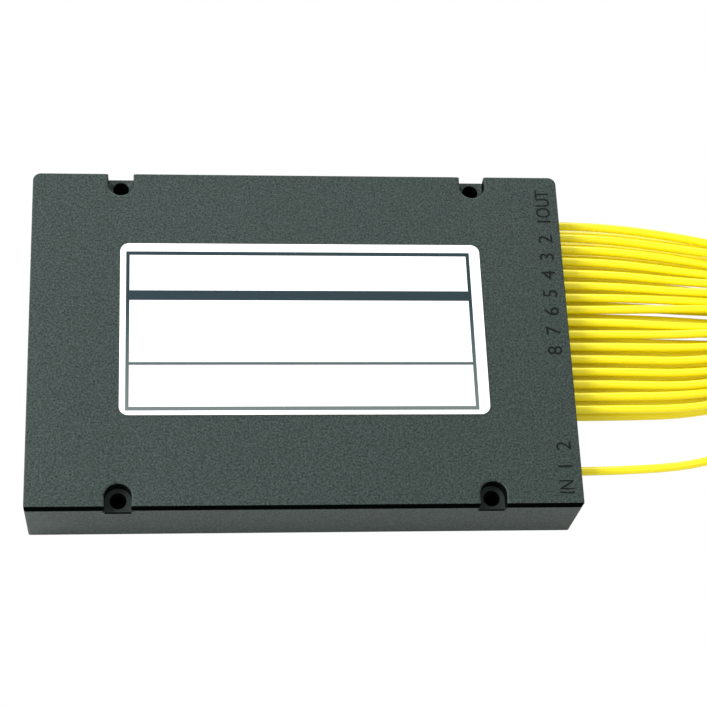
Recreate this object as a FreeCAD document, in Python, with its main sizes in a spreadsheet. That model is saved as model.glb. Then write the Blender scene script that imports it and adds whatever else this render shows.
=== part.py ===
"""A 1x32 planar lightwave circuit (PLC) fibre splitter in a moulded ABS box.

Millimetres.  The origin is the middle of the box's underside: +X leaves the box with the
fibre cords, +Z is up through the label, and -Y is the long side with the input port.

The box is one deep moulded shell, closed from below by a screwed plate.  Thirty-two output
cords leave the end wall in two rows, with one input cord beside them.  Past the box they
gather into a round harness, which is wound into a coil, and fan out again to their plugs.
"""
import FreeCAD, Part
import math
import os
import Sketcher
from FreeCAD import Placement, Rotation, Vector

SIZES = {
    # moulded box
    "box_length": 120.0,
    "box_width": 80.0,
    "box_height": 18.0,
    "box_wall": 2.0,
    "roof_thickness": 2.0,
    "corner_radius": 1.8,
    "rim_radius": 0.8,
    # mounting notches in the long sides, and the column under each
    "mount_spacing_x": 80.5,
    "mount_edge": 2.5,
    "mount_hole": 3.6,
    "notch_width": 5.7,
    "notch_depth": 3.2,
    "notch_mouth_radius": 0.6,
    "column_wall": 1.6,
    # base plate and its screws
    "plate_thickness": 2.0,
    "plate_gap": 0.1,
    "boss_diameter": 6.0,
    "boss_inset": 5.0,
    "boss_spacing_x": 56.0,
    "screw_shank": 2.5,
    "screw_pilot": 2.5,
    "screw_length": 8.0,
    "screw_head": 4.7,
    "screw_head_height": 1.3,
    "screw_drive": 1.4,
    "screw_hole": 2.9,
    # label on the roof
    "label_length": 81.0,
    "label_width": 41.3,
    "label_corner": 2.0,
    "label_thickness": 0.2,
    "label_centre_x": 0.3,
    "label_centre_y": 1.55,
    # cords and the ports that they leave by
    "cord_diameter": 2.0,
    "cord_hole": 2.2,
    "port_pitch": 3.08,
    "port_first_y": 30.7,
    "upper_row_z": 11.5,
    "lower_row_z": 7.1,
    "input_y": -30.2,
    # parts inside the box
    "anchor_depth": 11.0,
    "anchor_height": 12.4,
    "anchor_margin": 2.4,
    "case_length": 50.0,
    "case_width": 7.0,
    "case_height": 4.0,
    "case_wall": 0.4,
    "case_middle_x": -9.0,
    "case_middle_y": 7.6,
    "chip_length": 18.0,
    "chip_width": 5.0,
    "chip_height": 2.4,
    "fibre_block_length": 8.0,
    "end_boot_length": 6.0,
    "end_boot_in_case": 3.0,
    "buffer_diameter": 0.9,
    "ribbon_thickness": 0.4,
    "ribbon_width": 2.6,
    # harness: hexagonal bundle of the cords, and its coil
    "bundle_pitch": 2.4,
    "bundle_floor_gap": 0.1,
    "mouth_x": 140.0,
    "coil_left_x": 168.0,
    "coil_straight": 84.0,
    "coil_radius": 23.8,
    "fan_length": 66.0,
    # LC plugs, which lie on the coil in four layers
    "layer_gap": 0.05,
    "lc_pitch": 6.4,
    "lc_boot_length": 18.0,
    "lc_boot_back": 3.4,
    "lc_boot_front": 4.6,
    "lc_grip_length": 7.5,
    "lc_grip_width": 5.8,
    "lc_grip_height": 6.2,
    "lc_nose_length": 9.5,
    "lc_nose_width": 4.52,
    "lc_latch_width": 2.8,
    "lc_latch_thickness": 0.8,
    "lc_latch_rise": 2.6,
    "lc_socket": 3.4,
    "lc_socket_depth": 5.0,
    "lc_ferrule": 1.25,
    "lc_ferrule_length": 9.0,
    "lc_ferrule_reach": 2.0,
    "lc_cap_barrel": 3.2,
    "lc_cap_knob": 4.0,
    "lc_cap_knob_length": 5.0,
    # SC plug on the input cord
    "sc_boot_length": 25.0,
    "sc_boot_back": 3.6,
    "sc_boot_front": 6.0,
    "sc_frame_length": 21.0,
    "sc_frame_width": 6.8,
    "sc_frame_height": 5.2,
    "sc_socket": 4.2,
    "sc_socket_depth": 7.0,
    "sc_collar_length": 2.0,
    "sc_grip_length": 21.0,
    "sc_grip_width": 9.0,
    "sc_grip_height": 7.4,
    "sc_grip_gap": 0.1,
    "sc_grip_travel": 1.5,
    "sc_key_width": 2.2,
    "sc_key_height": 0.8,
    "sc_ferrule": 2.5,
    "sc_ferrule_length": 12.0,
    "sc_ferrule_reach": 1.5,
    "sc_cap_gap": 0.1,
    "sc_cap_barrel": 3.8,
    "sc_cap_knob": 6.0,
    "sc_cap_knob_length": 6.0,
    "sc_side_gap": 2.6,
}
OUTPUT_COUNT = 32
PORTS_IN_A_ROW = 16
CORNERS = ((-1, -1), (1, -1), (1, 1), (-1, 1))
WHOLE_TURNS = 4
MOUNT_Y = "(Size.box_width / 2 - Size.mount_edge)"
ABOUT_FACE = Rotation(Vector(0, 0, 1), 180)

PLUG_ROWS = (
    ("u1", "u4", "u5", "u7", "u9", "u11", "u13", "u15"),
    ("u0", "u2", "u3", "u6", "u8", "u10", "u12", "u14"),
    ("l0", "l1", "l3", "l5", "l10", "l12", "l13", "l15"),
    ("l2", "l4", "l6", "l7", "l8", "l9", "l11", "l14"),
)
# Where each cord lies in the round harness, row by row from the top, and in each row from
# the left as the cord sees it.  "u" is an upper-row port and "l" a lower-row one, counted
# from the far side of the box.
# The layers of LC plugs from the top, each from the left as the cords see it.
BUNDLE_ROWS = (
    ("u5", "u9"),
    ("u1", "u4", "u7", "u11", "u13"),
    ("u0", "u3", "u6", "u10", "u12", "u15"),
    ("l0", "u2", "l5", "u8", "l12", "u14", "input"),
    ("l1", "l3", "l6", "l10", "l13", "l15"),
    ("l2", "l4", "l8", "l11", "l14"),
    ("l7", "l9"),
)
# How far each cord has wandered sideways by the time it is 30 mm out of the box.
UPPER_DRIFT = (-2.4, -2.5, -2.3, -2.3, -1.8, -1.4, -0.5, 0.5,
               -1.0, 0.05, -0.2, -0.5, -0.4, -0.45, 0.45, 0.3)
LOWER_DRIFT = (-2.1, -2.2, -1.9, -1.6, -1.7, -1.2, -1.0, -0.7,
               -0.6, -0.3, -0.4, 0.1, 0.0, 0.3, 0.5, 0.6)
INPUT_DRIFT = 1.5

doc = FreeCAD.newDocument("PlcFibreSplitter")
sheet = doc.addObject("Spreadsheet::Sheet", "Size")
for row, (alias, value) in enumerate(SIZES.items(), start=1):
    sheet.set(f"A{row}", alias)
    sheet.set(f"B{row}", str(value))
    sheet.setAlias(f"B{row}", alias)
doc.recompute()

nodes = []


def size(alias):
    """The number that the sheet holds for one driving dimension."""
    return float(sheet.get(alias))


def bind(made, **formulas):
    """Tie properties to formulas; in a name, two underscores stand for a dot."""
    for name, formula in formulas.items():
        made.setExpression(name.replace("__", "."), str(formula))


def keep(made, label):
    """List a finished sub-part under the name of its file."""
    made.Label = label
    nodes.append(made)
    return made


# ---------------------------------------------------------------- sketches and features

def new_body(name):
    return doc.addObject("PartDesign::Body", name)


def origin_feature(body, role):
    return next(item for item in body.Origin.OriginFeatures if item.Role == role)


def new_sketch(body, name, plane="XY_Plane", offset="0"):
    """An empty sketch on one of the body's own planes, moved along its normal."""
    sketch = body.newObject("Sketcher::SketchObject", name)
    sketch.AttachmentSupport = [(origin_feature(body, plane), "")]
    sketch.MapMode = "FlatFace"
    bind(sketch, AttachmentOffset__Base__z=offset)
    return sketch


def tie(sketch, kind, *where):
    """One dimension of a sketch; the last item is its formula."""
    *target, formula = where
    index = sketch.addConstraint(Sketcher.Constraint(kind, *target, 1.0 if kind == "Diameter" else 0.0))
    sketch.setExpression(f"Constraints[{index}]", str(formula))


def outline(sketch, points):
    """A closed straight-sided outline through (x, y) pairs of formulas."""
    count = len(points)
    first = sketch.GeometryCount
    ring = [Vector(math.cos(2 * math.pi * k / count), math.sin(2 * math.pi * k / count), 0)
            for k in range(count)]
    for k in range(count):
        sketch.addGeometry(Part.LineSegment(ring[k], ring[(k + 1) % count]), False)
    for k in range(count):
        sketch.addConstraint(Sketcher.Constraint("Coincident", first + k, 2, first + (k + 1) % count, 1))
    for k, (x, y) in enumerate(points):
        tie(sketch, "DistanceX", -1, 1, first + k, 1, x)
        tie(sketch, "DistanceY", -1, 1, first + k, 1, y)


def rectangle(sketch, x_low, x_high, y_low, y_high):
    outline(sketch, [(x_low, y_low), (x_high, y_low), (x_high, y_high), (x_low, y_high)])


def circle(sketch, x, y, diameter):
    index = sketch.addGeometry(Part.Circle(Vector(0, 0, 0), Vector(0, 0, 1), 1.0), False)
    tie(sketch, "Diameter", index, diameter)
    tie(sketch, "DistanceX", -1, 1, index, 3, x)
    tie(sketch, "DistanceY", -1, 1, index, 3, y)


def pad(body, sketch, length, both_ways=False):
    made = body.newObject("PartDesign::Pad", sketch.Name + "Pad")
    made.Profile = sketch
    made.Midplane = both_ways
    bind(made, Length=length)
    return made


def pocket(body, sketch, length, forward=False):
    """Cut a sketch's outline out, against its plane's normal or, if forward, along it."""
    before = body.Shape.Volume
    made = body.newObject("PartDesign::Pocket", sketch.Name + "Pocket")
    made.Profile = sketch
    made.Reversed = forward
    bind(made, Length=length)
    doc.recompute()
    if body.Shape.Volume >= before:
        raise ValueError(f"{made.Name} cuts nothing")
    return made


def turned(name, profile):
    """A body turned about its X axis, from (x, radius) pairs of formulas."""
    body = new_body(name)
    sketch = new_sketch(body, name + "Profile", "XZ_Plane")
    outline(sketch, profile)
    made = body.newObject("PartDesign::Revolution", name + "Turn")
    made.Profile = sketch
    made.ReferenceAxis = (origin_feature(body, "X_Axis"), [""])
    doc.recompute()
    return body


def edges_where(shape, test):
    """The names of the straight or curved edges that pass a test."""
    return [f"Edge{k}" for k, edge in enumerate(shape.Edges, start=1) if test(edge)]


def fillet(body, base, names, radius):
    made = body.newObject("PartDesign::Fillet", base.Name + "Fillet")
    made.Base = (base, names)
    bind(made, Radius=radius)
    doc.recompute()
    return made


def upright(edge):
    start, end = (vertex.Point for vertex in (edge.Vertexes[0], edge.Vertexes[-1]))
    return math.hypot(start.x - end.x, start.y - end.y) < 1e-6 and abs(start.z - end.z) > 1e-6


# ---------------------------------------------------------------- moulded box

def housing_shell():
    """Roof and four walls in one moulding, open below, with notched mounting columns."""
    body = new_body("HousingShell")
    outside = new_sketch(body, "Outside")
    rectangle(outside, "-Size.box_length / 2", "Size.box_length / 2",
              "-Size.box_width / 2", "Size.box_width / 2")
    block = pad(body, outside, "Size.box_height")
    doc.recompute()
    rounded = fillet(body, block, edges_where(block.Shape, upright), "Size.corner_radius")
    roof = size("box_height")
    rim = edges_where(rounded.Shape, lambda edge: all(abs(v.Z - roof) < 1e-6 for v in edge.Vertexes))
    fillet(body, rounded, rim, "Size.rim_radius")

    cavity = new_sketch(body, "Cavity")
    rectangle(cavity, "Size.box_wall - Size.box_length / 2", "Size.box_length / 2 - Size.box_wall",
              "Size.box_wall - Size.box_width / 2", "Size.box_width / 2 - Size.box_wall")
    pocket(body, cavity, "Size.box_height - Size.roof_thickness", forward=True)

    columns = new_sketch(body, "Columns")
    half = "(Size.notch_width / 2 + Size.column_wall)"
    for sx, sy in CORNERS:
        middle = f"{sx} * Size.mount_spacing_x / 2"
        ends = (f"{sy} * ({MOUNT_Y} - Size.notch_width / 2 - Size.column_wall)",
                f"{sy} * (Size.box_width / 2 - Size.box_wall / 2)")
        rectangle(columns, f"{middle} - {half}", f"{middle} + {half}", *ends)
    pad(body, columns, "Size.box_height - Size.roof_thickness / 2")
    bosses = new_sketch(body, "Bosses", offset="Size.plate_thickness")
    for sx, sy in CORNERS:
        circle(bosses, *boss_centre(sx, sy), "Size.boss_diameter")
    pad(body, bosses, "Size.box_height - Size.plate_thickness - Size.roof_thickness / 2")
    doc.recompute()

    recess = new_sketch(body, "NotchFloor", offset="Size.box_height")
    for sx, sy in CORNERS:
        middle = f"{sx} * Size.mount_spacing_x / 2"
        rectangle(recess, f"{middle} - Size.notch_width / 2", f"{middle} + Size.notch_width / 2",
                  f"{sy} * {MOUNT_Y}", f"{sy} * (Size.box_width / 2 + 1)")
    pocket(body, recess, "Size.notch_depth")
    recess_end = new_sketch(body, "NotchEnd", offset="Size.box_height")
    for sx, sy in CORNERS:
        circle(recess_end, f"{sx} * Size.mount_spacing_x / 2", f"{sy} * {MOUNT_Y}",
               "Size.notch_width")
    cut = pocket(body, recess_end, "Size.notch_depth")
    half_width = size("box_width") / 2
    floor = size("box_height") - size("notch_depth")

    def at_mouth(edge):
        low = min(vertex.Z for vertex in edge.Vertexes)
        return (upright(edge) and abs(abs(edge.Vertexes[0].Y) - half_width) < 1e-6
                and abs(low - floor) < 1e-6)

    fillet(body, cut, edges_where(cut.Shape, at_mouth), "Size.notch_mouth_radius")

    holes = new_sketch(body, "MountHoles", offset="Size.box_height")
    for sx, sy in CORNERS:
        circle(holes, f"{sx} * Size.mount_spacing_x / 2", f"{sy} * {MOUNT_Y}",
               "Size.mount_hole")
    pocket(body, holes, "Size.box_height")
    pilots = new_sketch(body, "Pilots", offset="Size.plate_thickness")
    for sx, sy in CORNERS:
        circle(pilots, *boss_centre(sx, sy), "Size.screw_pilot")
    pocket(body, pilots, "Size.screw_length", forward=True)

    ports = new_sketch(body, "FirstPorts", "YZ_Plane", "Size.box_length / 2")
    for level in ("Size.upper_row_z", "Size.lower_row_z"):
        circle(ports, "Size.port_first_y", level, "Size.cord_hole")
    first = pocket(body, ports, "Size.box_wall")
    port_row = body.newObject("PartDesign::LinearPattern", "PortRow")
    port_row.Originals = [first]
    port_row.Direction = (ports, ["H_Axis"])
    port_row.Reversed = True
    bind(port_row, Length=f"Size.port_pitch * {PORTS_IN_A_ROW - 1}")
    port_row.Occurrences = PORTS_IN_A_ROW
    body.Tip = port_row
    doc.recompute()
    inlet = new_sketch(body, "InputPort", "YZ_Plane", "Size.box_length / 2")
    circle(inlet, "Size.input_y", "Size.upper_row_z", "Size.cord_hole")
    pocket(body, inlet, "Size.box_wall")
    keep(body, "housing_shell")


def boss_centre(sx, sy):
    return (f"{sx} * Size.boss_spacing_x / 2",
            f"{sy} * (Size.box_width / 2 - Size.box_wall - Size.boss_inset)")


def base_plate():
    """Flat plate that closes the box from below, cut away round the mounting columns."""
    body = new_body("BasePlate")
    plate = new_sketch(body, "Plate")
    rectangle(plate, "Size.box_wall + Size.plate_gap - Size.box_length / 2",
              "Size.box_length / 2 - Size.box_wall - Size.plate_gap",
              "Size.box_wall + Size.plate_gap - Size.box_width / 2",
              "Size.box_width / 2 - Size.box_wall - Size.plate_gap")
    pad(body, plate, "Size.plate_thickness")
    doc.recompute()
    relief = new_sketch(body, "ColumnRelief", offset="Size.plate_thickness")
    half = "(Size.notch_width / 2 + Size.column_wall + Size.plate_gap)"
    for sx, sy in CORNERS:
        middle = f"{sx} * Size.mount_spacing_x / 2"
        inner = (f"{sy} * ({MOUNT_Y} - Size.notch_width / 2"
                 " - Size.column_wall - Size.plate_gap)")
        rectangle(relief, f"{middle} - {half}", f"{middle} + {half}",
                  inner, f"{sy} * Size.box_width / 2")
    pocket(body, relief, "Size.plate_thickness")
    shanks = new_sketch(body, "ScrewHoles", offset="Size.plate_thickness")
    heads = new_sketch(body, "ScrewSeats")
    for sx, sy in CORNERS:
        circle(shanks, *boss_centre(sx, sy), "Size.screw_hole")
        circle(heads, *boss_centre(sx, sy), "Size.screw_head + 0.2")
    pocket(body, shanks, "Size.plate_thickness")
    pocket(body, heads, "Size.screw_head_height", forward=True)
    keep(body, "base_plate")


def base_screws():
    """Four pan-head screws, driven up through the plate into the shell's bosses."""
    body = turned("BaseScrew", [
        ("0", "0"), ("0", "Size.screw_head / 2"),
        ("Size.screw_head_height", "Size.screw_head / 2"),
        ("Size.screw_head_height", "Size.screw_shank / 2"),
        ("Size.plate_thickness + Size.screw_length - 1", "Size.screw_shank / 2"),
        ("Size.plate_thickness + Size.screw_length - 0.2", "0")])
    drive = new_sketch(body, "ScrewDrive", "YZ_Plane")
    rectangle(drive, *(f"{side} * Size.screw_drive / 2" for side in (-1, 1, -1, 1)))
    pocket(body, drive, "Size.screw_head_height / 2", forward=True)
    reach = size("boss_spacing_x") / 2
    side = size("box_width") / 2 - size("box_wall") - size("boss_inset")
    upward = Rotation(Vector(0, 1, 0), -90)
    spots = [Placement(Vector(sx * reach, sy * side, 0), upward) for sx, sy in CORNERS]
    array(body, "base_screws", spots)


def label():
    """Self-adhesive label on the roof."""
    body = new_body("LabelSheet")
    paper = new_sketch(body, "Paper")
    rectangle(paper, "-Size.label_length / 2", "Size.label_length / 2",
              "-Size.label_width / 2", "Size.label_width / 2")
    sheet_pad = pad(body, paper, "Size.label_thickness")
    doc.recompute()
    fillet(body, sheet_pad, edges_where(sheet_pad.Shape, upright), "Size.label_corner")
    bind(body, Placement__Base__x="Size.label_centre_x", Placement__Base__y="Size.label_centre_y",
         Placement__Base__z="Size.box_height")
    keep(body, "label")


def array(source, name, spots):
    """Copies of one body at several placements, kept as a single node of separate solids."""
    doc.recompute()
    made = doc.addObject("Part::Feature", name.title().replace("_", ""))
    copies = []
    for spot in spots:
        copy = source.Shape.copy()
        copy.Placement = spot.multiply(source.Shape.Placement)
        copies.append(copy)
    made.Shape = Part.makeCompound(copies)
    return keep(made, name)


# ---------------------------------------------------------------- inside the box

def inner_box(name, node, x, y, z, length, width, height):
    """A plain block, placed by its lowest corner."""
    made = doc.addObject("Part::Box", name)
    bind(made, Length=length, Width=width, Height=height,
         Placement__Base__x=x, Placement__Base__y=y, Placement__Base__z=z)
    if node:
        keep(made, node)
    return made


def cord_anchor():
    """Block cast behind the end wall, in which every cord's jacket and yarn is fixed."""
    lowest = "(Size.input_y - Size.anchor_margin)"
    inner_box("CordAnchor", "cord_anchor",
              "Size.box_length / 2 - Size.box_wall - Size.anchor_depth", lowest,
              "Size.plate_thickness",
              "Size.anchor_depth",
              f"Size.port_first_y + Size.anchor_margin - {lowest}",
              "Size.anchor_height")


def splitter_case():
    """Square steel tube round the waveguide chip and its two fibre blocks."""
    outer = inner_box("CaseOutside", None, "Size.case_middle_x - Size.case_length / 2",
                      "Size.case_middle_y - Size.case_width / 2", "Size.plate_thickness",
                      "Size.case_length", "Size.case_width", "Size.case_height")
    inner = inner_box("CaseInside", None, "Size.case_middle_x - Size.case_length / 2 - 1",
                      "Size.case_middle_y - Size.case_width / 2 + Size.case_wall",
                      "Size.plate_thickness + Size.case_wall",
                      "Size.case_length + 2", "Size.case_width - 2 * Size.case_wall",
                      "Size.case_height - 2 * Size.case_wall")
    tube = doc.addObject("Part::Cut", "SplitterCase")
    tube.Base = outer
    tube.Tool = inner
    keep(tube, "splitter_case")


def optics():
    """Silica chip with a glass fibre block glued to each end, and the rubber end boots."""
    seat = "Size.plate_thickness + Size.case_wall"
    chip_low = "Size.case_middle_x - Size.chip_length / 2"
    side = "Size.case_middle_y - Size.chip_width / 2"
    inner_box("WaveguideChip", "waveguide_chip", chip_low, side, seat,
              "Size.chip_length", "Size.chip_width", "Size.chip_height")
    inner_box("InputFibreBlock", "input_fibre_block", f"{chip_low} - Size.fibre_block_length", side,
              seat, "Size.fibre_block_length", "Size.chip_width", "Size.chip_height")
    inner_box("OutputFibreBlock", "output_fibre_block", f"{chip_low} + Size.chip_length", side,
              seat, "Size.fibre_block_length", "Size.chip_width", "Size.chip_height")
    for name, node, way in (("InputBoot", "input_end_boot", -1), ("OutputBoot", "output_end_boot", 1)):
        plug = inner_box(name + "Plug", None,
                         f"Size.case_middle_x + {way} * (Size.case_length / 2"
                         f" - Size.end_boot_in_case / 2) - Size.end_boot_in_case / 2",
                         "Size.case_middle_y - Size.case_width / 2 + Size.case_wall", seat,
                         "Size.end_boot_in_case", "Size.case_width - 2 * Size.case_wall",
                         "Size.case_height - 2 * Size.case_wall")
        flange = "(Size.end_boot_length - Size.end_boot_in_case)"
        head = inner_box(name + "Head", None,
                         f"Size.case_middle_x + {way} * (Size.case_length / 2 + {flange} / 2)"
                         f" - {flange} / 2",
                         "Size.case_middle_y - Size.case_width / 2", "Size.plate_thickness",
                         flange, "Size.case_width", "Size.case_height")
        boot = doc.addObject("Part::Fuse", name)
        boot.Base = plug
        boot.Tool = head
        keep(boot, node)


def inner_fibres():
    """The buffered input fibre's loop, and four fibre ribbons from the chip to the anchor."""
    anchor_back = size("box_length") / 2 - size("box_wall") - size("anchor_depth")
    level = size("plate_thickness") + size("case_height") / 2
    case_y = size("case_middle_y")
    in_face = size("case_middle_x") - size("case_length") / 2 - size("end_boot_length") \
        + size("end_boot_in_case")
    out_face = size("case_middle_x") + size("case_length") / 2 + size("end_boot_length") \
        - size("end_boot_in_case")
    input_y = size("input_y")
    far_wall = size("box_wall") - size("box_length") / 2
    front = -size("box_width") / 2
    loop = [Vector(anchor_back, input_y, size("upper_row_z")),
            Vector(anchor_back - 22, front + 12.8, 9), Vector(anchor_back - 52, front + 13.2, 6),
            Vector(anchor_back - 82, front + 14.8, level), Vector(far_wall + 7, -18, level),
            Vector(far_wall + 4, -4, level), Vector(far_wall + 10.5, case_y - 1, level),
            Vector(in_face, case_y, level)]
    tube_node("input_fibre", [route_wire(loop)], [loop], size("buffer_diameter"))
    ribbons = []
    spread = size("port_pitch") * (PORTS_IN_A_ROW - 1)
    for k in range(4):
        fraction = (k - 1.5) / 3
        end_y = size("port_first_y") - spread / 2 + fraction * spread * 0.75
        start_y = case_y + fraction * 1.2
        half = size("ribbon_width") / 2
        low = level - 1.2 + 0.7 * k
        near = out_face
        corners = [Vector(near, start_y - half, low), Vector(near + 6, start_y - half, low),
                   Vector(anchor_back - 6, end_y - half, low), Vector(anchor_back, end_y - half, low),
                   Vector(anchor_back, end_y + half, low), Vector(anchor_back - 6, end_y + half, low),
                   Vector(near + 6, start_y + half, low), Vector(near, start_y + half, low)]
        face = Part.Face(Part.makePolygon(corners + corners[:1]))
        ribbons.append(face.extrude(Vector(0, 0, size("ribbon_thickness"))))
    made = doc.addObject("Part::Feature", "FibreRibbons")
    made.Shape = Part.makeCompound(ribbons)
    keep(made, "fibre_ribbons")


# ---------------------------------------------------------------- cords

def route_wire(points, report=None):
    """Straight runs joined by tangent arcs, each as large as its two runs allow."""
    edges = []
    last = points[0]
    for before, at, after in zip(points, points[1:], points[2:]):
        shorter = min((at - before).Length, (after - at).Length)
        back = (before - at).normalize()
        ahead = (after - at).normalize()
        turn = math.pi - back.getAngle(ahead)
        reach = 0.45 * shorter
        radius = reach / math.tan(turn / 2)
        start = at + back * reach
        end = at + ahead * reach
        bisector = (back + ahead).normalize()
        middle = at + bisector * (radius / math.cos(turn / 2) - radius)
        edges.append(Part.LineSegment(last, start).toShape())
        edges.append(Part.Arc(start, middle, end).toShape())
        last = end
        if report is not None:
            report.append(radius)
    edges.append(Part.LineSegment(last, points[-1]).toShape())
    return Part.Wire(edges)


def swept_tube(wire, start, heading, diameter):
    profile = Part.Wire([Part.Circle(start, heading, diameter / 2).toShape()])
    tube = wire.makePipeShell([profile], True, False)
    expected = math.pi * diameter ** 2 / 4 * wire.Length
    if abs(tube.Volume - expected) > 0.01 * expected:
        raise ValueError(f"tube volume {tube.Volume:.1f}, expected {expected:.1f}")
    return tube


def tube_node(node, wires, routes, diameter):
    tubes = [swept_tube(wire, route[0], route[1] - route[0], diameter)
             for wire, route in zip(wires, routes)]
    made = doc.addObject("Part::Feature", node.title().replace("_", ""))
    made.Shape = tubes[0] if len(tubes) == 1 else Part.makeCompound(tubes)
    keep(made, node)


def bundle_slot(key):
    """How far left and up of the harness's middle one cord lies."""
    for level, row in enumerate(BUNDLE_ROWS):
        if key in row:
            left = ((len(row) - 1) / 2 - row.index(key)) * size("bundle_pitch")
            up = (3 - level) * size("bundle_pitch") * math.sqrt(3) / 2
            return left, up
    raise KeyError(key)


def bundle_radius():
    return 3 * size("bundle_pitch") + size("cord_diameter") / 2


def bundle_height():
    return bundle_radius() + size("bundle_floor_gap")


def lead_in_y():
    """The harness gathers in the middle of the output ports."""
    return size("port_first_y") - size("port_pitch") * (PORTS_IN_A_ROW - 1) / 2


def coil_centre_y():
    return lead_in_y() - size("coil_radius")


def coil_top():
    return size("bundle_floor_gap") + WHOLE_TURNS * 2 * bundle_radius()


def lead_out_z():
    """The end of the harness lies on the coil, above where it came in."""
    return coil_top() + bundle_height()


def plug_back_x():
    return size("coil_left_x") + size("fan_length")


def blend(start, end, share):
    return start + (end - start) * share


def gather_route(key, exit_y, exit_z, drift):
    """From the anchor, out of the box and into the mouth of the round harness."""
    left, up = bundle_slot(key)
    slot_y = lead_in_y() + left
    slot_z = bundle_height() + up
    inside = size("box_length") / 2 - size("box_wall")
    mouth = size("mouth_x")
    points = [Vector(inside, exit_y, exit_z),
              Vector(inside + 12, exit_y, exit_z),
              Vector(inside + 31, exit_y + drift, exit_z - 0.4)]
    for x, side_share, level_share in ((mouth - 37, 0.2, 0.55), (mouth - 24, 0.6, 0.97),
                                       (mouth - 10, 1.0, 1.0), (mouth, 1.0, 1.0)):
        points.append(Vector(x, blend(exit_y + drift, slot_y, side_share),
                             blend(exit_z - 0.4, slot_z, level_share)))
    return points


def fan_route(key, plug_y, plug_z):
    """From the coil's other end out to the back of a plug's boot."""
    left, up = bundle_slot(key)
    slot_y = lead_in_y() + left
    slot_z = lead_out_z() + up
    start = size("coil_left_x")
    points = [Vector(start, slot_y, slot_z)]
    step = size("fan_length") / 5
    for k, side_share, level_share in ((1, 0.0, 0.0), (2, 0.3, 0.15), (3, 0.76, 0.65),
                                       (4, 1.0, 1.0), (5, 1.0, 1.0)):
        points.append(Vector(start + step * k, blend(slot_y, plug_y, side_share),
                             blend(slot_z, plug_z, level_share)))
    return points


def cords():
    """One node for each cord: the stretch from the box and the stretch to the plug."""
    radii = []
    for number in range(1, OUTPUT_COUNT + 1):
        upper = number <= PORTS_IN_A_ROW
        place = (number - 1) % PORTS_IN_A_ROW
        key = ("u" if upper else "l") + str(place)
        exit_y = size("port_first_y") - place * size("port_pitch")
        exit_z = size("upper_row_z") if upper else size("lower_row_z")
        drift = (UPPER_DRIFT if upper else LOWER_DRIFT)[place]
        plug_y, plug_z = lc_axis(key)
        routes = [gather_route(key, exit_y, exit_z, drift),
                  fan_route(key, plug_y, plug_z)]
        wires = [route_wire(route, radii) for route in routes]
        tube_node(f"output_cord_{number:02d}", wires, routes, size("cord_diameter"))
    routes = [gather_route("input", size("input_y"), size("upper_row_z"), INPUT_DRIFT),
              fan_route("input", sc_axis_y(), sc_axis_z())]
    wires = [route_wire(route, radii) for route in routes]
    tube_node("input_cord", wires, routes, size("cord_diameter"))
    print(f"cord radii: smallest {min(radii):.1f}, largest {max(radii):.1f}")


def oval(name, radius, height):
    """A solid block with half-round ends, in the place of the coil."""
    left, straight = "Size.coil_left_x", "Size.coil_straight"
    middle_y = f"(Size.port_first_y - Size.port_pitch * {PORTS_IN_A_ROW - 1} / 2 - Size.coil_radius)"
    block = doc.addObject("Part::Box", name + "Block")
    bind(block, Length=straight, Width=f"2 * {radius}", Height=height, Placement__Base__x=left,
         Placement__Base__y=f"{middle_y} - {radius}", Placement__Base__z="Size.bundle_floor_gap")
    pieces = [block]
    for end, x in (("LeftEnd", left), ("RightEnd", f"{left} + {straight}")):
        half = doc.addObject("Part::Cylinder", name + end)
        bind(half, Radius=radius, Height=height, Placement__Base__x=x,
             Placement__Base__y=middle_y, Placement__Base__z="Size.bundle_floor_gap")
        pieces.append(half)
    whole = doc.addObject("Part::MultiFuse", name)
    whole.Shapes = pieces
    whole.Refine = True
    return whole


def harness_coil():
    """The outer shape of the wound harness: its turns lie on each other."""
    radius = "(3 * Size.bundle_pitch + Size.cord_diameter / 2)"
    height = f"{2 * WHOLE_TURNS} * {radius}"
    ring = doc.addObject("Part::Cut", "CoilRing")
    ring.Base = oval("CoilOutside", f"(Size.coil_radius + {radius})", height)
    ring.Tool = oval("CoilInside", f"(Size.coil_radius - {radius})", height)
    lead = doc.addObject("Part::Cylinder", "LeadIn")
    lead.Placement = Placement(Vector(), Rotation(Vector(0, 1, 0), 90))
    bind(lead, Radius=radius, Height="Size.coil_left_x - Size.mouth_x",
         Placement__Base__x="Size.mouth_x",
         Placement__Base__y=f"Size.port_first_y - Size.port_pitch * {PORTS_IN_A_ROW - 1} / 2",
         Placement__Base__z=f"Size.bundle_floor_gap + {radius}")
    coil = doc.addObject("Part::MultiFuse", "HarnessCoil")
    coil.Shapes = [ring, lead]
    keep(coil, "harness_coil")


# ---------------------------------------------------------------- LC plugs

def lc_axis(key):
    """Where the middle line of one cord's LC plug lies: across, and above the floor."""
    for level, row in enumerate(PLUG_ROWS):
        if key in row:
            nearest = (sc_axis_y() + size("sc_grip_width") / 2 + size("sc_side_gap")
                       + size("lc_grip_width") / 2)
            low = coil_top() + size("bundle_floor_gap") + size("lc_grip_height") / 2
            layer = size("lc_grip_height") / 2 + lc_latch_top() + size("layer_gap")
            return (nearest + (len(row) - 1 - row.index(key)) * size("lc_pitch"),
                    low + (len(PLUG_ROWS) - 1 - level) * layer)
    raise KeyError(key)


def lc_latch_top():
    return size("lc_nose_width") / 2 + size("lc_latch_rise") + size("lc_latch_thickness")


def lc_spots():
    return [Placement(Vector(plug_back_x(), *lc_axis(key)), ABOUT_FACE)
            for row in PLUG_ROWS for key in row]


LC_FRONT = "(Size.lc_boot_length + Size.lc_grip_length + Size.lc_nose_length)"


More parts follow.
